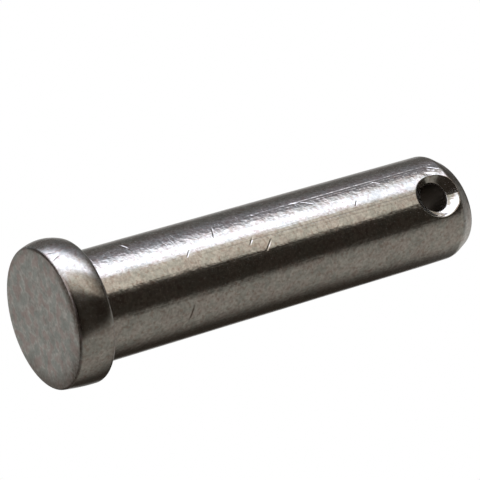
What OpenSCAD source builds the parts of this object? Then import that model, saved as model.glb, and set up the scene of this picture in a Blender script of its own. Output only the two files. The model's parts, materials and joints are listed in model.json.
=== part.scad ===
// Clevis pin: a plain round shank with an upset flat head, a pointed end and
// a countersunk cross hole for a cotter pin. It is cold headed, pointed and
// drilled in one piece, and stands on the flat of its head with the shank
// along +Z. Lengths are in millimetres and angles in degrees.

/* [Shank] */
// Diameter of the shank
shank_d = 9.41; // [7:0.01:10]
// Length of the shank, from the underside of the head to the flat end
shank_length = 38.1; // [20:0.1:90]
// Radius of the fillet between the shank and the head's underside
neck_r = 0.3; // [0.1:0.05:0.6]

/* [Head] */
// Diameter of the head at the crown of its flank, where it is widest
head_d = 12.4; // [11.6:0.1:18]
// Height of the head, from its flat face to its underside
head_h = 3.3; // [2.6:0.1:5]
// Height of the flank's crown above the flat face
crown_z = 1.8; // [1.2:0.1:2.4]
// Radius of the arc that the flank bulges along
flank_r = 5.9; // [4.5:0.1:12]
// Radius of the edge between the flat face and the flank
face_edge_r = 0.2; // [0.1:0.05:0.6]
// Radius of the edge between the flank and the underside
underside_edge_r = 0.45; // [0.1:0.05:0.8]

/* [Point] */
// Length of the point's taper, measured along the shank
point_length = 1.9; // [1.3:0.1:3]
// Angle between the taper and the side of the shank
point_angle = 30; // [20:1:40]
// Radius that blends the side of the shank into the taper
shoulder_r = 1.2; // [0.2:0.1:3]
// Radius that blends the taper into the flat end
end_r = 1.7; // [0.2:0.1:1.9]

/* [Cotter hole] */
// Diameter of the cross hole
hole_d = 2.65; // [1.6:0.05:3.6]
// Distance from the flat end to the axis of the cross hole
hole_from_end = 4; // [3.4:0.1:12]
// Diameter of each countersink, measured level with the crest of the shank
countersink_d = 4.65; // [3.8:0.05:5.4]
// Included angle of each countersink
countersink_angle = 100; // [60:1:120]

/* [Hidden] */

$fn = 128;

shank_r = shank_d / 2;
head_r = head_d / 2;
pin_length = head_h + shank_length;
hole_z = pin_length - hole_from_end;

// How far a cutting shape reaches past the surface it cuts
overcut = 1;
// How much larger an edge's circle is drawn, so that it crosses the outline
// cleanly where a true tangent would only graze it
crossing = 0.0002;

// The pin is turned from a half section drawn as [radius, height].
flank_centre = [head_r - flank_r, crown_z];
shoulder = [shank_r, pin_length - point_length];
end_corner = [shank_r - point_length * tan(point_angle), pin_length];

function unit(v) = v / norm(v);

// The area between two straight sides that meet at a corner, running towards
// a and b, and the circle that touches them both. It is added in an inside
// corner as a fillet, and taken off an outside corner to round it.
module corner_web(corner, a, b, r) {
    side_a = unit(a - corner);
    side_b = unit(b - corner);
    half_angle = acos(side_a * side_b) / 2;
    touch = r / tan(half_angle);
    centre = corner + unit(side_a + side_b) * r / sin(half_angle);
    difference() {
        polygon([corner, corner + touch * side_a, centre, corner + touch * side_b]);
        translate(centre) circle(r = r + crossing);
    }
}

// What an edge radius takes off the head between its bulged flank and the
// level face at height z. up is 1 where the metal lies above that face and -1
// where it lies below. The circle touches the face and, from inside, the
// flank's arc.
module head_edge_web(z, up, r) {
    height = z + up * r;
    run = sqrt(pow(flank_r - r, 2) - pow(height - crown_z, 2));
    centre = [flank_centre[0] + run, height];
    touch = centre + r * unit(centre - flank_centre);
    outside = z - up * overcut;
    difference() {
        polygon([centre, [centre[0], outside], [touch[0] + overcut, outside], touch]);
        translate(centre) circle(r = r + crossing);
    }
}

// Half section of the upset head: flat face, bulged flank, rounded edges.
module head_section() {
    difference() {
        intersection() {
            square([head_r, head_h]);
            translate(flank_centre) circle(r = flank_r);
        }
        head_edge_web(0, 1, face_edge_r);
        head_edge_web(head_h, -1, underside_edge_r);
    }
}

// Half section of the shank, with its tapered and rounded point.
module shank_section() {
    difference() {
        polygon([[0, 0], [shank_r, 0], shoulder, end_corner, [0, pin_length]]);
        corner_web(shoulder, [shank_r, 0], end_corner, shoulder_r);
        corner_web(end_corner, shoulder, [0, pin_length], end_r);
    }
}

module pin_section() {
    head_section();
    shank_section();
    corner_web([shank_r, head_h], [head_r, head_h], [shank_r, pin_length], neck_r);
}

// A countersink's cone, from its tip inside the shank to past the surface. It
// is as wide as countersink_d level with the crest of the shank.
module countersink() {
    slope = tan(countersink_angle / 2);
    tip = shank_r - countersink_d / 2 / slope;
    depth = shank_r + overcut - tip;
    translate([0, 0, tip]) cylinder(h = depth, r1 = 0, r2 = depth * slope);
}

// The cotter hole runs across the shank along Y, countersunk at both mouths.
module cotter_hole() {
    translate([0, 0, hole_z])
    for (way = [-90, 90]) rotate([way, 0, 0]) {
        cylinder(h = shank_r + overcut, d = hole_d);
        countersink();
    }
}

module clevis_pin() {
    color("silver")
    difference() {
        rotate_extrude() pin_section();
        cotter_hole();
    }
}

clevis_pin();
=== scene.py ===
"""Looks for a clevis pin: the turned and upset steel pin, its worn finish, and a light tent around it.

The pin stands on the flat of its head, with its shank along +Z and its cotter hole along Y. Every length
is in metres, unless it says otherwise.
"""

import json
import math
from typing import NamedTuple

import bpy
import numpy as np
from bpy.props import FloatProperty, FloatVectorProperty, PointerProperty
from mathutils import Matrix, Vector


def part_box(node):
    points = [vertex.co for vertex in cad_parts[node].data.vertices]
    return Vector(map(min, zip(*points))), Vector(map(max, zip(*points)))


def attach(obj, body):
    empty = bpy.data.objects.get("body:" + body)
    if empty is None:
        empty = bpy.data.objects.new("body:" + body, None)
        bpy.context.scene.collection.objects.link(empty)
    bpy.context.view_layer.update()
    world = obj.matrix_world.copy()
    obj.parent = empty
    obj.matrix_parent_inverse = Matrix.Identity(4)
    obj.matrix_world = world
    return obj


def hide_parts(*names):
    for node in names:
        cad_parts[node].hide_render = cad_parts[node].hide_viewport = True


bl_info = {
    "name": "Clevis Pin",
    "version": (1, 0, 0),
    "blender": (4, 5, 0),
    "location": "View3D > Sidebar > Clevis Pin",
    "description": "Builds a worn steel clevis pin and a light tent around it",
    "category": "Object",
}

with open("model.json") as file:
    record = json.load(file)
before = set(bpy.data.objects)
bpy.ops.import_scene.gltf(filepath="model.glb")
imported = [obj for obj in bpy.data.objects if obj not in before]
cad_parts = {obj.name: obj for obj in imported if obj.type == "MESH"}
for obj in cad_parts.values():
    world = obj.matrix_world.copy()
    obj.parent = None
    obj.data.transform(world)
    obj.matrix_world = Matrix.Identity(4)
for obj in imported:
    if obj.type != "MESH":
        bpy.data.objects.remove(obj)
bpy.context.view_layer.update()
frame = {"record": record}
PIN_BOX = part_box("clevis_pin")
MOUNTS = {mount["name"]: mount for mount in frame["record"]["mounts"]}
MM = 0.001
WHITE = (1, 1, 1, 1)


# ---------------------------------------------------------------- settings


def length(name, default, description):
    """A length setting, with its default in metres."""
    return FloatProperty(name=name, description=description, default=default, unit="LENGTH", precision=6)


def turn(name, default, description):
    """An angle setting, with its default in degrees."""
    return FloatProperty(name=name, description=description, default=math.radians(default), subtype="ANGLE")


def share(name, default, description, top=1.0):
    """A plain number from zero to top."""
    return FloatProperty(name=name, description=description, default=default, min=0.0, max=top, precision=4)


def tint(name, default, description):
    """A colour setting."""
    return FloatVectorProperty(
        name=name, description=description, default=default, subtype="COLOR", min=0, max=1
    )


class PinSizes(bpy.types.PropertyGroup):
    """Sizes of the pin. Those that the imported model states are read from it."""

    pin_length: length("Length", PIN_BOX[1].z, "From the head's flat face to the flat end")
    shank_radius: length("Shank radius", MOUNTS["shank"]["dims"]["r_mm"] * MM, "Radius of the shank")
    head_radius: length("Head radius", PIN_BOX[1].x, "Radius of the head at the crown of its flank")
    head_height: length(
        "Head height", MOUNTS["head_underside"]["pos_m"][2], "From the flat face to the underside"
    )
    crown_height: length("Crown height", 1.8 * MM, "Height of the flank's widest ring above the flat face")
    flank_radius: length("Flank radius", 5.9 * MM, "Radius of the arc that the head's flank bulges along")
    face_edge_radius: length("Face edge radius", 0.2 * MM, "Radius between the flat face and the flank")
    back_edge_radius: length("Back edge radius", 0.45 * MM, "Radius between the flank and the underside")
    neck_radius: length("Neck radius", 0.3 * MM, "Radius of the fillet between the underside and the shank")
    point_length: length("Point length", 1.9 * MM, "Length of the point's taper along the shank")
    point_angle: turn("Point angle", 30, "Angle between the taper and the side of the shank")
    shoulder_radius: length("Shoulder radius", 1.2 * MM, "Radius that blends the shank into the taper")
    end_radius: length("End radius", 1.7 * MM, "Radius that blends the taper into the flat end")
    hole_radius: length(
        "Hole radius", MOUNTS["cotter_hole"]["dims"]["r_mm"] * MM, "Radius of the cotter hole"
    )
    hole_height: length(
        "Hole height", MOUNTS["cotter_hole"]["pos_m"][2], "Height of the cotter hole's axis"
    )
    hole_wall: length(
        "Hole wall",
        MOUNTS["cotter_hole"]["dims"]["length_mm"] * MM,
        "Length of the hole between its countersinks",
    )
    countersink_angle: turn("Countersink angle", 100, "Included angle of each countersink")


class PinForm(bpy.types.PropertyGroup):
    """How far the made pin is from the true one: an upset head runs out and a cropped point leans."""

    head_runout: length("Head run-out", 0.14 * MM, "How far the flat face sits off the shank's axis")
    flank_swell: length("Flank swell", 0.165 * MM, "How much further the middle of the head sits off it")
    runout_side: turn("Run-out side", -69, "Side that the head is off to, round from -Y towards +X")
    point_lean: turn("Point lean", 7, "How far the flat end leans from square")
    lean_side: turn("Lean side", -47, "Side of the point that is pressed lower, round from -Y towards +X")
    lean_length: length("Lean length", 3.3 * MM, "Length of the pin's end over which the lean builds up")
    end_draw: length("End draw", 0.10 * MM, "How far one side is drawn in where the taper starts")
    draw_side: turn("Draw side", 56, "Side that is drawn in the most, round from -Y towards +X")
    draw_length: length("Draw length", 3.4 * MM, "Length of the shank over which it is drawn in")
    edge_break: length("Edge break", 0.05 * MM, "How far the worn rounding of the hole's edges reaches")
    lip_wear: share("Lip wear", 1.8, "How much further it reaches at a dished mouth's lip, as a share", 4)
    wall_dish: length("Wall dish", 0.12 * MM, "How far one side of a countersink is dished below a cone")
    dish_side: turn("Dish side", 80, "Side of the hole that is dished, round from the point towards +X")
    mouth_aside: length("Mouth aside", 0.06 * MM, "How far the countersinks are off the bore, towards +X")
    mouth_above: length("Mouth above", 0.08 * MM, "How far they are off it towards the point")
    face_roll: length("Face roll", 0.10 * MM, "How far the tumbled rim of the flat face is worn back")
    roll_width: length("Roll width", 1.1 * MM, "Width of the worn rim")
    roll_side: turn("Roll side", 40, "Side where the rim is worn the most, round from -Y towards +X")


# ---------------------------------------------------------------- shape of the pin

COLUMNS = 384  # around the pin
WINDOW = 32  # columns, on each side of a mouth's middle, that the patch around the mouth takes up
WINDOW_REACH = 1.2  # how far the patch reaches from the hole's middle towards the head, in mouth radii
PATCH_RINGS = 10  # from the patch's rim to the mouth's lip
PATCH_CROWD = 0.8  # power that crowds them towards the lip
EDGE_RINGS = 4  # of each rounded edge of a countersink
WALL_RINGS = 8  # of a countersink's wall
BORE_RINGS = 12  # from a countersink to the middle of the bore
HALVINGS = 40  # in the search for a mouth's edge
SEARCH_REACH = 1.1  # how far that search reaches, in mouth radii
FINE = 16  # times as many steps in the outline that the mouths are fitted to
ROLL_LIMIT = 1.3  # how far the wear of the flat face's rim grows on past it, in widths of the worn rim
ROLL_EVEN = 0.6  # share of that wear that is the same all round


def arc(centre, radius, start, end, steps):
    """Points of an arc: the centre plus the radius times (cos t, sin t), with t in equal steps."""
    t = np.radians(np.linspace(start, end, steps + 1))
    return np.asarray(centre) + radius * np.column_stack((np.cos(t), np.sin(t)))


def line(start, end, steps, crowd=1.0):
    """Inner points of a line: start plus the way to the end times s ** crowd, with s in equal steps."""
    s = (np.arange(1, steps) / steps)[:, None] ** crowd
    return np.asarray(start) * (1 - s) + np.asarray(end) * s


def mouth_radius(sizes):
    """Radius of a countersink level with the shank's crest: the bore's, plus its depth times its slope."""
    depth = sizes.shank_radius - sizes.hole_wall / 2
    return sizes.hole_radius + depth * math.tan(sizes.countersink_angle / 2)


def pin_outline(sizes, detail=1):
    """Half section of the pin as [radius, height] rows, from the flat face's middle to the flat end's.

    Straight stretches are joined by arcs that touch them: the head's two edges touch the flank's arc from
    inside, and an arc of radius r at a corner that turns by the angle a starts r * tan(a / 2) short of it.
    Returns the rows, and the numbers of the first and last row of the stretch that the mouths lie in.
    """
    flank = np.array((sizes.head_radius - sizes.flank_radius, sizes.crown_height))

    def inside_flank(radius, height):
        across = math.sqrt((sizes.flank_radius - radius) ** 2 - (height - flank[1]) ** 2)
        centre = flank + (across, height - flank[1])
        return centre, math.degrees(math.atan2(height - flank[1], across))

    face_edge, flank_start = inside_flank(sizes.face_edge_radius, sizes.face_edge_radius)
    back_height = sizes.head_height - sizes.back_edge_radius
    back_edge, flank_stop = inside_flank(sizes.back_edge_radius, back_height)
    neck = (sizes.shank_radius + sizes.neck_radius, sizes.head_height + sizes.neck_radius)
    taper = math.degrees(sizes.point_angle)
    taper_start = sizes.pin_length - sizes.point_length
    shoulder_short = sizes.shoulder_radius * math.tan(sizes.point_angle / 2)
    shoulder = (sizes.shank_radius - sizes.shoulder_radius, taper_start - shoulder_short)
    end_short = sizes.end_radius * math.tan(math.pi / 4 - sizes.point_angle / 2)
    end_corner = sizes.shank_radius - sizes.point_length * math.tan(sizes.point_angle)
    end = (end_corner - end_short, sizes.pin_length - sizes.end_radius)

    face_arc = arc(face_edge, sizes.face_edge_radius, -90, flank_start, steps=8 * detail)
    flank_arc = arc(flank, sizes.flank_radius, flank_start, flank_stop, steps=20 * detail)
    back_arc = arc(back_edge, sizes.back_edge_radius, flank_stop, 90, steps=12 * detail)
    neck_arc = arc(neck, sizes.neck_radius, 270, 180, steps=8 * detail)
    shoulder_arc = arc(shoulder, sizes.shoulder_radius, 0, taper, steps=8 * detail)
    end_arc = arc(end, sizes.end_radius, taper, 90, steps=14 * detail)
    window_start = np.array((sizes.shank_radius, sizes.hole_height - WINDOW_REACH * mouth_radius(sizes)))
    window_end = (shoulder_arc[-1] + end_arc[0]) / 2

    flat_face = line((0, 0), face_arc[0], steps=12, crowd=0.6)
    underside = line(back_arc[-1], neck_arc[0], steps=5)
    shank = line(neck_arc[-1], window_start, steps=60)
    window_shank = line(window_start, shoulder_arc[0], steps=32)
    window_taper = line(shoulder_arc[-1], window_end, steps=4)
    taper_rest = line(window_end, end_arc[0], steps=4)
    flat_end = line(end_arc[-1], (0, sizes.pin_length), steps=10, crowd=1.4)

    head = [(0.0, 0.0), *flat_face, *face_arc, *flank_arc[1:], *back_arc[1:], *underside]
    below = [*head, *neck_arc, *shank]
    window = [window_start, *window_shank, *shoulder_arc, *window_taper, window_end]
    rows = np.array([*below, *window, *taper_rest, *end_arc, *flat_end, (0.0, sizes.pin_length)])
    return rows, len(below), len(below) + len(window) - 1


def on_skin(angle, height, outline):
    """Points of the turned skin: radius(height) * (sin angle, -cos angle), with the height."""
    radius = np.interp(height, outline[:, 1], outline[:, 0])
    return np.stack((radius * np.sin(angle), -radius * np.cos(angle), height), axis=-1)


def hole_rings(sizes, form, rim_angle, rim_height, outline):
    """Rings of points from the rim of a patch on the skin, down the countersink, to the middle of the bore.

    Each point of the rim lies in a direction t around the hole's axis, and its ring points keep t. The
    countersink is a cone with its depth equal to its radius over its slope, less 4 * dish * s * (1 - s),
    with s from 0 to 1 up its wall and the dish fading with the cosine of t to nothing at the other side.
    Its centre slides off the bore's axis evenly with its depth. The mouth is where the cone crosses the
    skin, found by halving, and both edges are rounded by a quadratic curve with its corner at the true edge.
    """
    t = np.arctan2(sizes.shank_radius * rim_angle, rim_height - sizes.hole_height)
    slope = math.tan(sizes.countersink_angle / 2)
    foot = sizes.hole_wall / 2
    tip = foot - sizes.hole_radius / slope
    dished = np.cos(t - form.dish_side)
    dish = form.wall_dish * (1 + dished) / 2
    worn = form.edge_break * (1 + form.lip_wear * np.clip(dished, 0, 1))

    def slid(depth):
        return np.clip((depth - foot) / (sizes.shank_radius - foot), 0, 1)

    def around(radius, depth, slide):
        across = form.mouth_aside * slide + radius * np.sin(t)
        height = sizes.hole_height + form.mouth_above * slide + radius * np.cos(t)
        return np.stack((across, -depth + 0 * across, height), axis=-1)

    def cone_depth(radius):
        s = (radius - sizes.hole_radius) / (mouth_radius(sizes) - sizes.hole_radius)
        return tip + radius / slope - 4 * dish * s * (1 - s)

    def on_cone(radius):
        depth = cone_depth(radius)
        return around(radius, depth, slid(depth))

    def skin_depth(radius, slide):
        across, _, height = around(radius, 0, slide).T
        skin = np.interp(height, outline[:, 1], outline[:, 0])
        return np.sqrt(skin**2 - across**2)

    low, high = np.full(t.shape, sizes.hole_radius), np.full(t.shape, SEARCH_REACH * mouth_radius(sizes))
    for _ in range(HALVINGS):
        middle = (low + high) / 2
        depth = cone_depth(middle)
        sunk = depth < skin_depth(middle, slid(depth))
        low, high = np.where(sunk, middle, low), np.where(sunk, high, middle)
    mouth = (low + high) / 2

    slide = slid(cone_depth(mouth))
    lip = around(mouth + worn, skin_depth(mouth + worn, slide), slide)
    lip_angle, lip_height = np.arctan2(lip[:, 0], -lip[:, 1]), lip[:, 2]

    def steps(count):
        return np.arange(1, count + 1) / count

    s = steps(PATCH_RINGS)[:, None] ** PATCH_CROWD
    patch_angle = rim_angle + (lip_angle - rim_angle) * s
    patch_height = rim_height + (lip_height - rim_height) * s
    patch = on_skin(patch_angle, patch_height, outline)

    def rounded(start, corner, end):
        s = steps(EDGE_RINGS)[:, None, None]
        return (1 - s) ** 2 * start + 2 * s * (1 - s) * corner + s**2 * end

    wall_top = mouth - worn
    wall_foot = sizes.hole_radius + form.edge_break
    top = rounded(lip, on_cone(mouth), on_cone(wall_top))
    wall = [on_cone(wall_top + (wall_foot - wall_top) * s) for s in steps(WALL_RINGS)]
    bore_start = around(sizes.hole_radius, foot - form.edge_break, 0)
    inner_edge = rounded(wall[-1], around(sizes.hole_radius, foot, 0), bore_start)
    bore = bore_start * np.ones((BORE_RINGS, 1, 1))
    bore[..., 1] *= 1 - steps(BORE_RINGS)[:, None]
    return np.concatenate((patch, top, wall, inner_edge, bore))


def quads(rings):
    """Faces between neighbouring rows of a grid of vertex numbers that closes on itself along each row."""
    ahead = np.roll(rings, -1, axis=1)
    return np.stack((rings[:-1], ahead[:-1], ahead[1:], rings[1:]), axis=-1)


def pin_surface(sizes, form):
    """Vertices and faces of the whole pin: the skin turned from the outline, with the cotter hole let in.

    The skin is a grid of columns around the pin and rows along the outline, closed by a fan at each middle.
    A window is left out of it on each side, and a tube of rings runs from one through the hole to the other.
    """
    rows, first, last = pin_outline(sizes)
    fine = pin_outline(sizes, FINE)[0]
    angle = np.arange(COLUMNS) * 2 * math.pi / COLUMNS
    inner = rows[1:-1]
    around = (inner[:, :1] * np.sin(angle), -inner[:, :1] * np.cos(angle), inner[:, 1:] + 0 * angle)
    skin = np.stack(around, axis=-1)
    number = 1 + np.arange(skin[..., 0].size).reshape(skin.shape[:2])
    end_middle = number[-1, -1] + 1

    low, high = first - 1, last - 1
    bottom, side = np.arange(-WINDOW, WINDOW + 1), np.arange(low + 1, high)
    rim_column = np.concatenate((bottom, 0 * side + WINDOW, bottom[::-1], 0 * side - WINDOW))
    rim_row = np.concatenate((0 * bottom + low, side, 0 * bottom + high, side[::-1]))
    near = hole_rings(sizes, form, rim_column * angle[1], inner[rim_row, 1], fine)
    far = near[-2::-1] * (1, -1, 1)
    tube = np.concatenate((near, far))
    tube_number = end_middle + 1 + np.arange(tube[..., 0].size).reshape(tube.shape[:2])
    near_rim = number[rim_row, rim_column % COLUMNS]
    far_rim = number[rim_row, (COLUMNS // 2 - rim_column) % COLUMNS]
    rings = np.vstack((near_rim, tube_number, far_rim))

    faces = quads(number)
    column = np.arange(COLUMNS)
    for middle in (0, COLUMNS // 2):
        offset = (column - middle + COLUMNS // 2) % COLUMNS - COLUMNS // 2
        faces[low:high, (offset >= -WINDOW) & (offset < WINDOW)] = 0
    faces = faces.reshape(-1, 4)
    faces = np.concatenate((faces[faces.any(axis=1)], quads(rings).reshape(-1, 4)))
    ahead = np.roll(number, -1, axis=1)
    face_fan = np.column_stack((0 * column, ahead[0], number[0]))
    end_fan = np.column_stack((number[-1], ahead[-1], 0 * column + end_middle))
    middles = [(0, 0, 0)], [(0, 0, sizes.pin_length)]
    points = np.concatenate((middles[0], skin.reshape(-1, 3), middles[1], tube.reshape(-1, 3)))
    return points, faces.tolist() + face_fan.tolist() + end_fan.tolist()


def made_form(points, sizes, form):
    """Moves the true pin's points to the made pin's.

    The flat face's rim is worn back by roll * t ** 3 * u * (e + (1 - e) * c), with t growing evenly from 0
    to 1 over the worn rim's width and on to its limit past it, u falling evenly to 0 at the crown, e the
    even share, and c the cosine to the roll's side. The head's sections slide off the axis by
    run-out * (1 - q) + 4 * swell * q * (1 - q), with q the height over the head's. The end's sections lean:
    a point drops by w * tan(lean) times its distance towards the lean's side, with w growing evenly from 0
    to 1 over the lean's length. One side of the end is drawn in: its distances from the axis shrink by
    draw / radius * v * f ** 3, with f the cosine to that side, and v growing with the power 1.5 of the
    height to 1 at the taper and falling evenly to 0 at the end.
    """
    height = points[:, 2]
    out = np.hypot(points[:, 0], points[:, 1])

    def towards(side):
        return np.array((math.sin(side), -math.cos(side), 0.0))

    def cosine(side):
        return points @ towards(side) / np.maximum(out, 1e-9)

    roll_start = sizes.head_radius - sizes.face_edge_radius - form.roll_width
    t = np.clip((out - roll_start) / form.roll_width, 0, ROLL_LIMIT)
    u = np.clip(1 - height / sizes.crown_height, 0, 1)
    rolled = form.face_roll * t**3 * u * (ROLL_EVEN + (1 - ROLL_EVEN) * cosine(form.roll_side))
    q = np.clip(height / sizes.head_height, 0, 1)
    slide = form.head_runout * (1 - q) + 4 * form.flank_swell * q * (1 - q)
    w = np.clip(1 - (sizes.pin_length - height) / form.lean_length, 0, 1)
    drop = w * math.tan(form.point_lean) * (points @ towards(form.lean_side))
    to_end = (sizes.pin_length - height) / sizes.point_length
    growth = np.clip(1 + (1 - to_end) * sizes.point_length / form.draw_length, 0, 1) ** 1.5
    v = growth * np.clip(to_end, 0, 1)
    shrink = 1 - form.end_draw / sizes.shank_radius * v * np.clip(cosine(form.draw_side), 0, 1) ** 3
    points = points * np.column_stack((shrink, shrink, np.ones_like(shrink)))
    return points + slide[:, None] * towards(form.runout_side) + (rolled - drop)[:, None] * (0, 0, 1)


def new_piece(name, points, faces, material):
    """A smooth mesh piece at the origin, made from points and faces in the frame."""
    mesh = bpy.data.meshes.new(name)
    mesh.from_pydata(points, [], faces)
    mesh.polygons.foreach_set("use_smooth", np.ones(len(mesh.polygons), bool))
    mesh.materials.append(material)
    mesh.validate()
    piece = bpy.data.objects.new(name, mesh)
    bpy.context.scene.collection.objects.link(piece)
    return piece


# ---------------------------------------------------------------- shader maths


class Value:
    """A number in a node tree. Its operators add Math nodes, so that maths reads as an expression."""

    def __init__(self, shader, socket):
        self.shader = shader
        self.socket = socket

    def math(self, operation, *others):
        return self.shader.node("Math", {"operation": operation}, dict(enumerate((self, *others))))

    def __add__(self, other):
        return self.math("ADD", other)

    def __sub__(self, other):
        return self.math("SUBTRACT", other)

    def __mul__(self, other):
        return self.math("MULTIPLY", other)

    def __truediv__(self, other):
        return self.math("DIVIDE", other)

    def __rsub__(self, other):
        return self * -1 + other

    def __abs__(self):
        return self.math("ABSOLUTE")

    __radd__ = __add__
    __rmul__ = __mul__


class Shader:
    """A node tree that is being filled."""

    def __init__(self, tree):
        self.tree = tree
        tree.nodes.clear()

    def node(self, kind, settings, inputs, output=0):
        """Adds a node, makes its settings and fills its sockets. Returns an output, if it has any."""
        node = self.tree.nodes.new("ShaderNode" + kind)
        for name, value in settings.items():
            setattr(node, name, value)
        for name, value in inputs.items():
            if isinstance(value, Value):
                self.tree.links.new(value.socket, node.inputs[name])
            else:
                node.inputs[name].default_value = value
        return Value(self, node.outputs[output]) if node.outputs else None

    def coordinates(self):
        """The three Object coordinates as separate numbers."""
        place = self.node("TexCoord", {}, {}, "Object")
        parts = self.node("SeparateXYZ", {}, {0: place})
        return [Value(self, socket) for socket in parts.socket.node.outputs]

    def step(self, value, start, end):
        """A smooth step that is 0 where value is at start and 1 where it is at end."""
        spans = {"Value": value, "From Min": start, "From Max": end}
        return self.node("MapRange", {"interpolation_type": "SMOOTHSTEP"}, spans)

    def mix(self, factor, low, high):
        """The colour low where factor is 0 and high where it is 1."""
        return self.node("Mix", {"data_type": "RGBA"}, {0: factor, 6: low, 7: high}, 2)

    def noise(self, place, cell, detail=2.0):
        """Cloudy noise of about -0.25 to 0.25 at three numbers, in patches about one cell wide."""
        point = self.node("CombineXYZ", {}, dict(enumerate(place)))
        inputs = {"Vector": point, "Scale": 1 / cell, "Detail": detail}
        return self.node("TexNoise", {}, inputs) - 0.5


# ---------------------------------------------------------------- finish of the steel


class SteelSettings(bpy.types.PropertyGroup):
    """Finish of the steel."""

    clean: tint("Clean steel", (0.692, 0.685, 0.655), "Colour of the rubbed steel")
    dull: tint("Dull steel", (0.395, 0.39, 0.37), "Colour of the dull patches")
    # This colour also lays the painted highlight on one side of each countersink.
    bare: tint("Bare steel", (0.95, 0.94, 0.93), "Colour of the metal in a fresh scratch")
    tarnish: tint("Tarnish", (0.50, 0.39, 0.37), "Colour of the thin brown patches")
    bluing: tint("Bluing", (0.40, 0.44, 0.42), "Colour of the thin cool patches")
    dust: tint("Dust", (0.32, 0.205, 0.16), "Colour of the brown dust in the skin's pores")
    # Partly grime and partly painted shade: the colour that darkens the inside of the bore.
    soot_and_shade: tint("Soot", (0.28, 0.25, 0.225), "Colour of the dirty bore")
    # Besides the grime in scratches and the rim's oxide line, this colour lays the painted shade on the
    # face's rim, the back edge and the neck.
    stain_and_shade: tint("Stain", (0.17, 0.14, 0.12), "Colour of the stain along the face's rim and in the neck")
    skin_roughness: share("Skin roughness", 0.15, "Roughness of the drawn skin")
    flank_roughness: share("Flank roughness", 0.20, "Roughness of the head's flank")
    face_roughness: share("Face roughness", 0.36, "Roughness of the tumbled flat face")
    rubbed_side: turn("Rubbed side", -36, "Side with the first of two rubbed strips, from -Y towards +X")
    dent_depth: length("Dent depth", 0.034 * MM, "Height of the small dents from tumbling")
    wave_depth: length("Wave depth", 0.040 * MM, "Height of the slow waves in the skin")
    line_depth: length("Line depth", 0.006 * MM, "Height of the draw lines along the shank")
    tick_depth: length("Tick depth", 0.012 * MM, "Depth of the short marks around the pin")
    chatter: length("Chatter", 0.012 * MM, "Height of the cutter's marks in the countersinks")


class Nick(NamedTuple):
    """A scratch in the pin's side, from one (height in mm, degrees round from -Y towards +X) to another.

    Its width and depth are in mm. Its tone is above zero where it is filled with dirt, below zero where it
    is bare, bright steel, and zero where it is as the steel around it.
    """

    start: tuple
    end: tuple
    width: float
    depth: float
    tone: float = 0.0


NICKS = (
    Nick((0.28, -33.6), (0.90, -35.2), 0.07, 0.016, 1.0),
    Nick((0.28, -43.2), (0.84, -39.8), 0.07, 0.012, 0.6),
    Nick((7.45, -50), (7.75, -39.5), 0.14, 0.040, -0.5),
    Nick((10.75, -33), (10.85, -29), 0.10, 0.024),
    Nick((12.0, -9.5), (12.4, -15.5), 0.09, 0.026),
    Nick((15.16, -22.5), (15.6, -35), 0.11, 0.036, 0.3),
    Nick((15.75, -34), (16.1, -39), 0.08, 0.014),
    Nick((17.9, -3), (18.4, -10), 0.12, 0.028, -0.8),
    Nick((19.3, 6), (19.95, -2.5), 0.12, 0.048, -0.8),
    Nick((11.05, 55), (11.5, 40), 0.16, 0.040, 1.4),
    Nick((19.6, -38.5), (19.8, -35.5), 0.13, 0.024, -0.8),
    Nick((23.5, -38), (24.65, -36), 0.10, 0.020, -0.8),
    Nick((24.65, -36), (25.5, -29), 0.10, 0.024, -0.8),
    Nick((31.9, -37), (32.6, -31), 0.10, 0.024, -0.8),
    Nick((29.1, -12.5), (29.4, -17.5), 0.09, 0.022, 0.8),
    Nick((37.9, -36), (38.8, -28.5), 0.10, 0.026, -1.0),
    Nick((37.7, -31.5), (38.3, -28), 0.09, 0.024, -0.8),
    Nick((37.3, -26), (38.0, -24.2), 0.28, 0.030, -1.2),
    Nick((38.2, -40), (38.5, -38), 0.14, 0.010, -0.3),
    Nick((19.0, -37.5), (38.9, -37.9), 0.15, 0.020, -0.8),
    Nick((13.0, -7.8), (39.0, -7.2), 0.10, 0.005, 0.5),
    Nick((19.0, -4.2), (39.0, -3.7), 0.09, 0.006, 0.3),
    Nick((22.0, -33.6), (37.0, -34.4), 0.10, 0.008),
)


class Parts(NamedTuple):
    """A number for each part of the pin's skin."""

    shank: float
    flank: float
    face: float


DENTS = Parts(1.0, 0.4, 0.4)  # share of the dents' height
BLOTCHES = Parts(1.0, 1.0, 2.5)  # how much the broad blotches dull the steel
SPECKS = Parts(2.0, 1.6, 1.8)  # how much the small specks dull it
DULLNESS = Parts(0.38, 0.52, 0.52)  # share of dull steel between them
TARNISH = Parts(0.2, 0.2, 0.6)  # share of tarnish in its patches
BLUING = Parts(0.3, 0.3, 0.6)  # share of bluing in its patches
DUST = Parts(0.42, 0.42, 0.22)  # share of dust in the pores

PATCH_EDGE = 0.12  # noise at which a patch of tarnish is full, and, below zero, one of bluing
PORE_EDGE = 0.2  # noise at which a dusty pore is full
DIRT_AND_SHADE_LEVEL = 0.94  # share of the stain_and_shade colour in grime and in painted shade, before the specks vary it

RUBBED_EDGE = (0.816, 0.978)  # where a strip starts and is full: cosines of twice the turn from its middle
UNRUBBED_DENTS = 0.3  # share of the dents' height outside the strips
TICK_EDGE = (0.17, 0.30)  # noise at which a short mark starts and is deepest

# Two sides of a countersink, in degrees round the hole from the point towards +X, each with the cosines of
# the turn from it at which it starts and is full. On the first, bare steel is a painted highlight.
PAINTED_HIGHLIGHT_SIDE = (83, 0.85, 0.97)
GRIMY_SIDE = (160, 0.5, 0.95)
PAINTED_HIGHLIGHT_SHARE = 0.9  # share of bare steel in the painted highlight on that side
GRIME = 0.05  # share of the grimy side that isn't metal

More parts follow.
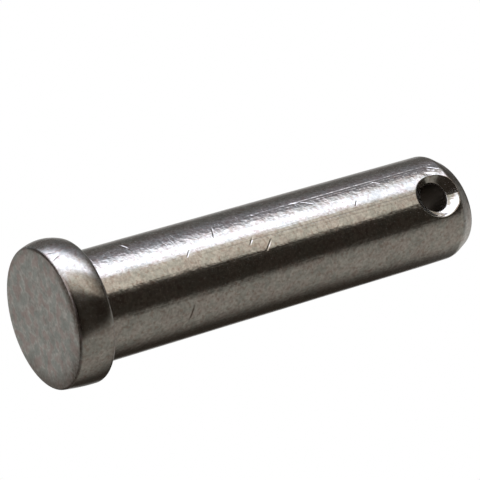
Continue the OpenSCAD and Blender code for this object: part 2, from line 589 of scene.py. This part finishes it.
# Roughness that the blotches, the bore and the crease of the neck add.
BLOTCH_ROUGHNESS = 0.08
BORE_ROUGHNESS = 0.3
NECK_ROUGHNESS = 0.15


class Stain(NamedTuple):
    """A dark patch, real for some entries and painted shade for others: its strength, its side, and smooth
    steps of measures in mm, from their start to their full.

    Its mask is the product of its steps. The measures are the height, and how far a place is past the rim
    of the flat face, past the shank's side and past the head's underside. The side, if it has one, is in
    degrees round from -Y towards +X, with the cosines of the turn from it at which the patch starts and is
    full.
    """

    strength: float
    side: tuple
    steps: tuple


RIM_INSET = 0.38  # mm from the widest ring of the head in to the rim of its flat face
# Dark patches laid with the stain_and_shade colour. The rim line is a thin oxide line; the rim, the shaded
# rim, the back edge and the neck are painted shade.
STAINS_AND_SHADE = {
    # Darker over the worn rim of the flat face, on the side towards +X.
    "worn rim": Stain(0.9, (105, 0.25, 0.9), (("past rim", -1.8, 0), ("height", 0.3, 0.1))),
    # Painted shade on the flat face just inside its rim, on the side near -Y.
    "rim": Stain(1.0, (4, 0.8, 0.97), (("past rim", -0.9, -0.1), ("height", 0.6, 0.15))),
    "rim line": Stain(
        1.0,
        (-8, 0.3, 0.7),
        (("past rim", -0.19, -0.05), ("past rim", 0.19, 0.05), ("height", 0.2, 0.1)),
    ),
    # Darker over the middle height of the head's flank, on the side near -Y.
    "smudge": Stain(
        0.55,
        (8, 0.85, 0.99),
        (("height", 1.3, 2.0), ("height", 3.1, 2.4), ("past shank", 0.4, 0.8)),
    ),
    # Painted shade on the flat face just inside its rim, on the side towards -X.
    "shaded rim": Stain(0.3, (-80, 0.3, 0.85), (("past rim", -0.7, -0.1), ("height", 0.3, 0.1))),
    # Painted shade on the head's back edge on the side towards +X, which dims the line that it reflects.
    "back edge": Stain(0.75, (75, 0.6, 0.9), (("past head", -0.45, -0.15), ("past shank", 0.4, 0.8))),
    # Painted shade in the crease of the neck under the head; the neck also gets more roughness.
    "neck": Stain(
        0.7,
        (),
        (("past head", -0.3, -0.1), ("past head", 0.5, 0.1), ("past shank", 0.5, 0.1)),
    ),
}

# How far past an edge a mask starts and is full, in mm.
SHANK_FADE = (0, 0.6)  # above the head's underside
FACE_FADE = (0.3, 0.1)  # above the flat face
MOUTH_FADE = (0.25, 0.15)  # outside a countersink's mouth
CUT_FADE = (-0.03, -0.12)  # outside the shank's side
BORE_FADE = (0.10, 0.02)  # outside the bore's side
WALL_FADE = (0.1, -0.1)  # beyond the bore's wall, towards a countersink


class Spot(NamedTuple):
    """Where a point of the surface is, in mm and radians, with a mask for each part of the pin."""

    x: Value
    y: Value
    z: Value
    out: Value  # from the axis
    angle: Value  # round the axis, from -Y towards +X
    hole_out: Value  # from the hole's axis
    hole_angle: Value  # round the hole's axis, from the point towards +X
    on_shank: Value
    on_face: Value
    in_countersink: Value
    in_bore: Value


def past(value, edge, fade):
    """A mask at an edge: a smooth step of how far the value is past it, by where it starts and is full."""
    start, full = fade
    return value.shader.step(value, edge + start, edge + full)


def surface_spot(shader, sizes):
    """The spot that is being shaded, with masks that fade over a short way at the edge of each part."""
    x, y, z = (part * (1 / MM) for part in shader.coordinates())
    out = (x * x + y * y).math("SQRT")
    above = z - sizes.hole_height / MM
    hole_out = (x * x + above * above).math("SQRT")
    cut = past(out, sizes.shank_radius / MM, CUT_FADE)
    walled = past(abs(y), sizes.hole_wall / MM / 2, WALL_FADE)
    return Spot(
        x,
        y,
        z,
        out,
        angle=x.math("ARCTAN2", y * -1),
        hole_out=hole_out,
        hole_angle=x.math("ARCTAN2", above),
        on_shank=past(z, sizes.head_height / MM, SHANK_FADE),
        on_face=past(z, 0, FACE_FADE),
        in_countersink=past(hole_out, mouth_radius(sizes) / MM, MOUTH_FADE) * cut,
        in_bore=past(hole_out, sizes.hole_radius / MM, BORE_FADE) * walled,
    )


def by_part(spot, parts):
    """The number of the part that a spot is on, running smoothly from each part's to the next."""
    shank = spot.on_shank * (parts.shank - parts.flank)
    return shank + spot.on_face * (parts.face - parts.flank) + parts.flank


def beside(angle, side, start, full):
    """A mask on one side: a smooth step of the cosine of the turn from that side, which is in degrees."""
    return angle.shader.step((angle - math.radians(side)).math("COSINE"), start, full)


def nick_groove(place, nick, radius):
    """How deep in a scratch a place is, from 0 to 1, with the place given as mm round and up the shank.

    With t the share of the way along it that the place lies beside, held between 0 and 1, and d the
    distance from the place to that point, it is 2.4 * t * (1 - t) + 0.4, times a smooth step of d that is 0
    at the scratch's width and 1 at zero.
    """
    ends = (nick.start, nick.end)
    start, end = (Vector((math.radians(angle) * radius, height)) for height, angle in ends)
    run = end - start
    across, up = place[0] - start.x, place[1] - start.y
    t = ((across * run.x + up * run.y) / run.length_squared).math("MINIMUM", 1).math("MAXIMUM", 0)
    across, up = across - t * run.x, up - t * run.y
    distance = (across * across + up * up).math("SQRT")
    fade = t * (1 - t) * 2.4 + 0.4
    return across.shader.step(distance, nick.width, 0) * fade


def nick_marks(spot, radius):
    """How deep the scratches are at a spot, in mm, and how much dirt and how much bare steel is in them."""
    depth, dirt_and_shade, bare = 0, 0, 0
    for nick in NICKS:
        groove = nick_groove((spot.angle * radius, spot.z), nick, radius)
        depth = groove * nick.depth + depth
        if nick.tone > 0:
            dirt_and_shade = groove * nick.tone + dirt_and_shade
        elif nick.tone < 0:
            bare = groove * -nick.tone + bare
    return depth, dirt_and_shade, bare


def skin_relief(shader, spot, sizes, steel, scratches):
    """Height of the surface in mm: waves, dents and draw lines less the marks, or chatter in a countersink.

    In a noise, a height times less than 1 draws it out along the pin, and times more than 1 packs it.
    """
    x, y, z = spot.x, spot.y, spot.z
    radius, mouth = sizes.shank_radius / MM, mouth_radius(sizes) / MM
    strips = ((spot.angle - steel.rubbed_side) * 2).math("COSINE")
    rubbed = shader.step(strips, *RUBBED_EDGE) * spot.on_shank
    waves = shader.noise((x, y, z * 0.8), cell=2.2, detail=1)
    dents = shader.noise((x, y, z * 0.9), cell=0.36) * (rubbed * (1 - UNRUBBED_DENTS) + UNRUBBED_DENTS)
    dents = dents * by_part(spot, DENTS)
    lines = shader.noise((spot.angle * radius, z * 0.02, 0), cell=0.22) * spot.on_shank
    ticks = shader.step(shader.noise((x, y, z * 9), cell=1.1, detail=1), *TICK_EDGE) * rubbed
    skin = waves * (steel.wave_depth / MM) + dents * (steel.dent_depth / MM)
    skin = skin + lines * (steel.line_depth / MM) - ticks * (steel.tick_depth / MM) - scratches
    chatter = shader.noise((spot.hole_angle * mouth, 0, spot.hole_out * 0.1), cell=0.25, detail=1)
    chatter = chatter * (steel.chatter / MM)
    return skin * (1 - spot.in_countersink) + chatter * spot.in_countersink


def stain_and_shade_masks(spot, sizes, form):
    """The mask of each dark patch, by its name, before its strength; some of them are painted shade."""
    aside = form.head_runout / MM
    face_x = spot.x - aside * math.sin(form.runout_side)
    face_y = spot.y + aside * math.cos(form.runout_side)
    face_out = (face_x * face_x + face_y * face_y).math("SQRT")
    measures = {
        "height": (spot.z, 0),
        "past rim": (face_out, sizes.head_radius / MM - RIM_INSET),
        "past shank": (spot.out, sizes.shank_radius / MM),
        "past head": (spot.z, sizes.head_height / MM),
    }
    masks = {}
    for name, stain_and_shade in STAINS_AND_SHADE.items():
        mask = beside(spot.angle, *stain_and_shade.side) if stain_and_shade.side else 1
        for measure, start, full in stain_and_shade.steps:
            mask = past(*measures[measure], (start, full)) * mask
        masks[name] = mask
    return masks


def steel_colour(shader, spot, steel, blotches, dirt_and_shade, bare):
    """Colour of the surface: layers laid over the clean steel one by one, each by its share.

    In a noise, a coordinate that is moved gives patches in other places than those of the rest.
    """
    x, y, z = spot.x, spot.y, spot.z
    specks = shader.noise((x + 7, y, z), cell=0.27)
    dull = blotches * by_part(spot, BLOTCHES) + specks * by_part(spot, SPECKS) + by_part(spot, DULLNESS)
    patches = shader.noise((x, y + 11, z), cell=1.0, detail=1)
    pores = shader.noise((x, y + 5, z), cell=0.33)
    painted_highlight = beside(spot.hole_angle, *PAINTED_HIGHLIGHT_SIDE) * spot.in_countersink * PAINTED_HIGHLIGHT_SHARE
    on_skin = 1 - spot.in_countersink
    layers = (
        (dull.math("MAXIMUM", 0).math("MINIMUM", 1), steel.dull),
        (shader.step(patches, 0, PATCH_EDGE) * by_part(spot, TARNISH), steel.tarnish),
        (shader.step(patches, 0, -PATCH_EDGE) * by_part(spot, BLUING), steel.bluing),
        (shader.step(pores, 0, PORE_EDGE) * by_part(spot, DUST), steel.dust),
        # Bare steel in fresh scratches, and a painted highlight on one side of each countersink.
        (bare * on_skin + painted_highlight, steel.bare),
        # Grime in the scratches, the rim's oxide line, and painted shade on the face's rim, the back edge
        # and the neck.
        (dirt_and_shade * (specks + DIRT_AND_SHADE_LEVEL) * on_skin, steel.stain_and_shade),
        # The inside of the bore, darkened: partly grime, partly painted shade in the hole.
        (spot.in_bore, steel.soot_and_shade),
    )
    colour = (*steel.clean, 1)
    for part, layer in layers:
        colour = shader.mix(part, colour, (*layer, 1))
    return colour


def worn_steel(shader, sizes, form, steel):
    """Drawn steel, tumbled and handled: dulled, stained and scratched, with painted shade on the rim, the
    back edge, the neck and the bore, and cleaner in the countersinks with a painted highlight on one side.
    """
    spot = surface_spot(shader, sizes)
    scratches, dirt_and_shade, bare = nick_marks(spot, sizes.shank_radius / MM)
    masks = stain_and_shade_masks(spot, sizes, form)
    # The patches, real ones and painted shade alike, join the grime in the scratches.
    for name, stain_and_shade in STAINS_AND_SHADE.items():
        dirt_and_shade = (masks[name] * stain_and_shade.strength).math("MAXIMUM", dirt_and_shade)

    blotches = shader.noise((spot.x, spot.y, spot.z), cell=1.3, detail=3)
    roughness = by_part(spot, Parts(steel.skin_roughness, steel.flank_roughness, steel.face_roughness))
    roughness = roughness + blotches * BLOTCH_ROUGHNESS + spot.in_bore * BORE_ROUGHNESS
    roughness = roughness + masks["neck"] * NECK_ROUGHNESS
    height = skin_relief(shader, spot, sizes, steel, scratches)
    inputs = {
        "Base Color": steel_colour(shader, spot, steel, blotches, dirt_and_shade, bare),
        "Metallic": 1 - beside(spot.hole_angle, *GRIMY_SIDE) * spot.in_countersink * GRIME,
        "Roughness": roughness,
        "Normal": shader.node("Bump", {}, {"Strength": 1.0, "Distance": MM, "Height": height}),
    }
    surface = shader.node("BsdfPrincipled", {}, inputs)
    shader.node("OutputMaterial", {}, {"Surface": surface})


# ---------------------------------------------------------------- stage


class Card(NamedTuple):
    """A card or a lamp's cloth in the light tent, as seen from its middle, in degrees.

    Each side edge is its azimuth at the horizon, round from -Y towards +X, how far it leans for each degree
    of elevation, and its softness. The bottom and the top are an elevation and a softness.
    """

    left: tuple
    right: tuple
    bottom: tuple
    top: tuple
    colour: tuple


TENT_DARK = (0.0340, 0.0278, 0.0220)
CARDS = {
    "zenith": Card((-200, 0, 1), (200, 0, 1), (74, 20), (120, 1), (0.20, 0.194, 0.184)),
    "dim wall": Card((-178, 0, 12), (-30, 0, 30), (-28, 14), (62, 40), (0.150, 0.143, 0.136)),
    "back wall": Card((164, 0, 12), (212, 0, 20), (-20, 10), (24, 10), (0.12, 0.115, 0.105)),
    "ceiling": Card((52, 0, 40), (176, 0, 16), (43, 18), (84, 14), (0.27, 0.26, 0.247)),
    "ceiling lamp": Card((112, 0, 30), (178, 0, 16), (44, 10), (74, 20), (0.50, 0.48, 0.455)),
    "paper edge": Card((172, 0, 14), (220, 0, 24), (8, 12), (46, 12), (0.46, 0.45, 0.44)),
    "grey paper": Card((56.5, -0.27, 18), (138, -0.8, 50), (-35, 20), (62, 20), (0.285, 0.264, 0.236)),
    "paper top": Card((62, 0, 30), (126, 0, 44), (36, 10), (56, 10), (0.342, 0.317, 0.283)),
    "low paper": Card((64, 0, 30), (152, 0, 14), (-68, 20), (-18, 26), (0.20, 0.19, 0.175)),
    "back paper": Card((175, 0, 22), (228, 0, 20), (-66, 24), (-2, 14), (0.414, 0.403, 0.383)),
    "curtain": Card((-101, 0, 20), (-60, 0, 10), (-50, 10), (44, 14), (0.281, 0.272, 0.300)),
    "warm card": Card((-70, 0, 10), (-9.5, 0.22, 7), (-70, 20), (42, 22), (0.80, 0.73, 0.63)),
    "stand": Card((-14, 0.2, 30), (2, 0, 12), (-21, 10), (6, 24), (0.083, 0.077, 0.068)),
    "window": Card((-87, 0.8, 40), (-44.6, 0.14, 16), (-50, 10), (43, 13), (2.36, 2.44, 2.80)),
    "low window": Card((-90, 0, 16), (-36, -0.2, 10), (-82, 8), (-12, 12), (2.45, 2.47, 2.7)),
    "window sill": Card((-146, 0, 20), (-87, 0, 10), (-90, 10), (-14, 10), (0.06, 0.055, 0.05)),
}
TENT_COLUMNS = 64
TENT_ROWS = 30
TENT_TOP = 87  # degrees up and down to which the rows go
FLOOR_POINTS = 9  # along each side of the floor's grid
NEAR, FAR = 0.01, 10  # nearest and furthest that the camera sees


class StageSettings(bpy.types.PropertyGroup):
    """Camera, floor and light tent."""

    azimuth: turn("Azimuth", 12.6, "Direction of the camera, round from -Y towards +X")
    elevation: turn("Elevation", -30.42, "How high the camera stands; below zero it sees the flat face")
    roll: turn("Roll", -74.02, "How far the camera is turned about its own axis")
    distance: length("Distance", 222.65 * MM, "From the camera to the point that it looks at")
    aim_offset: FloatVectorProperty(
        name="Aim offset",
        description="From the middle of the shank to the point that the camera looks at",
        default=(-1.864 * MM, -0.417 * MM, -0.946 * MM),
        subtype="TRANSLATION",
        unit="LENGTH",
        precision=6,
    )
    lens: FloatProperty(name="Lens", description="Focal length in mm", default=198.3, unit="CAMERA")
    tent_radius: length("Tent radius", 0.2, "Radius of the light tent")
    floor_reach: length("Floor reach", 0.6, "Half the width of the floor")
    floor_gap: length("Floor gap", 0.1 * MM, "From the flat face down to the floor")
    paper_reach: length("Paper reach", 0.04, "How far out the floor starts to turn white")
    white_reach: length("White reach", 0.25, "How far out it is plain white")
    paper: tint("Floor paper", (0.94, 0.935, 0.93), "Colour of the floor around the pin")


def outward(azimuth, elevation):
    """Unit vector at an azimuth, round from -Y towards +X, and an elevation above the horizon."""
    across = math.cos(elevation)
    return Vector((math.sin(azimuth) * across, -math.cos(azimuth) * across, math.sin(elevation)))


def add_camera(stage):
    """Puts the camera in its direction from the aim and at its distance, and rolls its level view."""
    data = bpy.data.cameras.new("camera")
    data.lens = stage.lens
    data.clip_start, data.clip_end = NEAR, FAR
    camera = bpy.data.objects.new("camera", data)
    bpy.context.scene.collection.objects.link(camera)
    back = outward(stage.azimuth, stage.elevation)
    aim = Vector((0, 0, (PIN_BOX[0].z + PIN_BOX[1].z) / 2)) + Vector(stage.aim_offset)
    level = back.to_track_quat("Z", "Y").to_matrix()
    rolled = level @ Matrix.Rotation(-stage.roll, 3, "Z")
    camera.matrix_world = Matrix.Translation(aim + back * stage.distance) @ rolled.to_4x4()
    bpy.context.scene.camera = camera


def tent_light(shader):
    """Emission of the tent's cloth: the dark, with each card's colour laid over it by a mask.

    With a the azimuth and e the elevation, an edge's mask is a smooth step of a - edge - lean * e, wrapped
    to half a turn either way of the card's middle, and a card's mask is the product of its four edges.
    """
    x, y, z = shader.coordinates()
    degree = math.degrees(1)
    azimuth = x.math("ARCTAN2", y * -1) * degree
    elevation = z.math("ARCTAN2", (x * x + y * y).math("SQRT")) * degree
    colour = (*TENT_DARK, 1)
    for card in CARDS.values():
        middle = (card.left[0] + card.right[0]) / 2
        aside = (azimuth - middle).math("WRAP", 180, -180) + middle
        mask = 1
        for (place, lean, soft), sign in ((card.left, 1), (card.right, -1)):
            across = (aside - elevation * lean - place) * sign
            mask = shader.step(across, -soft / 2, soft / 2) * mask
        for (place, soft), sign in ((card.bottom, 1), (card.top, -1)):
            mask = shader.step((elevation - place) * sign, -soft / 2, soft / 2) * mask
        colour = shader.mix(mask, colour, (*card.colour, 1))
    shine = shader.node("Emission", {}, {"Color": colour})
    shader.node("OutputMaterial", {}, {"Surface": shine})


def add_tent(stage):
    """A closed dome around the pin that only reflections see.

    It is radius * (cos e sin a, -cos e cos a, sin e) on a grid of azimuths a and elevations e, with a flat
    face over the gap at each end.
    """
    a = np.linspace(-math.pi, math.pi, TENT_COLUMNS + 1)[:-1]
    e = np.radians(np.linspace(-TENT_TOP, TENT_TOP, TENT_ROWS))[:, None]
    grid = np.stack((np.cos(e) * np.sin(a), -np.cos(e) * np.cos(a), np.sin(e) + 0 * a), axis=-1)
    grid = grid * stage.tent_radius
    number = np.arange(a.size * e.size).reshape(e.size, a.size)
    faces = quads(number).reshape(-1, 4).tolist() + [number[0, ::-1].tolist(), number[-1].tolist()]
    material = bpy.data.materials.new("tent_cloth")
    material.use_nodes = True
    tent_light(Shader(material.node_tree))
    material.cycles.emission_sampling = "NONE"
    tent = new_piece("tent", grid.reshape(-1, 3), faces, material)
    tent.location.z = (PIN_BOX[0].z + PIN_BOX[1].z) / 2
    tent.visible_camera = False
    tent.visible_diffuse = False
    tent.visible_shadow = False


def floor_paper(shader, stage):
    """Pale paper around the pin that turns to plain white further off, and is clear from below."""
    x, y, _ = shader.coordinates()
    away = (x * x + y * y).math("SQRT")
    paper = shader.node("BsdfDiffuse", {}, {"Color": (*stage.paper, 1)})
    white = shader.node("Emission", {}, {"Color": WHITE})
    whiteness = shader.step(away, stage.paper_reach, stage.white_reach)
    above = shader.node("MixShader", {}, {0: whiteness, 1: paper, 2: white})
    clear = shader.node("BsdfTransparent", {}, {})
    from_below = shader.node("NewGeometry", {}, {}, "Backfacing")
    surface = shader.node("MixShader", {}, {0: from_below, 1: above, 2: clear})
    shader.node("OutputMaterial", {}, {"Surface": surface})


def add_floor(stage):
    """A level square under the pin: reach * (u, v) for u and v from -1 to 1."""
    u, v = np.meshgrid(np.linspace(-1, 1, FLOOR_POINTS), np.linspace(-1, 1, FLOOR_POINTS))
    grid = np.stack((u, v, 0 * u), axis=-1) * stage.floor_reach - (0, 0, stage.floor_gap)
    number = np.arange(u.size).reshape(u.shape)
    faces = np.stack((number[:-1, :-1], number[:-1, 1:], number[1:, 1:], number[1:, :-1]), axis=-1)
    material = bpy.data.materials.new("floor_paper")
    material.use_nodes = True
    floor_paper(Shader(material.node_tree), stage)
    floor = new_piece("floor", grid.reshape(-1, 3), faces.reshape(-1, 4).tolist(), material)
    floor.visible_glossy = False
    floor.visible_diffuse = False
    floor.visible_transmission = False
    floor.visible_shadow = False


# ---------------------------------------------------------------- operators and panel


class PIN_OT_build(bpy.types.Operator):
    """Build the pin with its worn steel finish, in the place of the plain model"""

    bl_idname = "clevis_pin.build_pin"
    bl_label = "Build the pin"

    def execute(self, context):
        scene = context.scene
        sizes, form = scene.pin_sizes, scene.pin_form
        points, faces = pin_surface(sizes, form)
        material = bpy.data.materials.new("worn_steel")
        material.use_nodes = True
        worn_steel(Shader(material.node_tree), sizes, form, scene.pin_steel)
        pin = new_piece("pin", made_form(points, sizes, form), faces, material)
        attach(pin, "root")
        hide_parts("clevis_pin")
        return {"FINISHED"}


class PIN_OT_set_stage(bpy.types.Operator):
    """Set up the camera, the floor and the light tent"""

    bl_idname = "clevis_pin.set_stage"
    bl_label = "Set the stage"

    def execute(self, context):
        add_camera(context.scene.pin_stage)
        add_tent(context.scene.pin_stage)
        add_floor(context.scene.pin_stage)
        world = bpy.data.worlds.new("room")
        context.scene.world = world
        world.use_nodes = True
        world.node_tree.nodes["Background"].inputs["Color"].default_value = WHITE
        context.scene.view_settings.view_transform = "Standard"
        return {"FINISHED"}


class VIEW3D_PT_clevis_pin(bpy.types.Panel):
    """The operators and the settings, in the sidebar"""

    bl_label = "Clevis Pin"
    bl_space_type = "VIEW_3D"
    bl_region_type = "UI"
    bl_category = "Clevis Pin"

    def draw(self, context):
        for operator in (PIN_OT_build, PIN_OT_set_stage):
            self.layout.operator(operator.bl_idname)
        for group in SETTINGS:
            box = self.layout.box()
            settings = getattr(context.scene, group)
            for name in type(settings).__annotations__:
                box.prop(settings, name)


SETTINGS = {
    "pin_sizes": PinSizes,
    "pin_form": PinForm,
    "pin_steel": SteelSettings,
    "pin_stage": StageSettings,
}
CLASSES = (*SETTINGS.values(), PIN_OT_build, PIN_OT_set_stage, VIEW3D_PT_clevis_pin)


def register():
    for cls in CLASSES:
        bpy.utils.register_class(cls)
    for name, group in SETTINGS.items():
        setattr(bpy.types.Scene, name, PointerProperty(type=group))


def unregister():
    for name in SETTINGS:
        delattr(bpy.types.Scene, name)
    for cls in reversed(CLASSES):
        bpy.utils.unregister_class(cls)


def main():
    register()
    bpy.ops.clevis_pin.build_pin()
    bpy.ops.clevis_pin.set_stage()


if __name__ == "__main__":
    main()
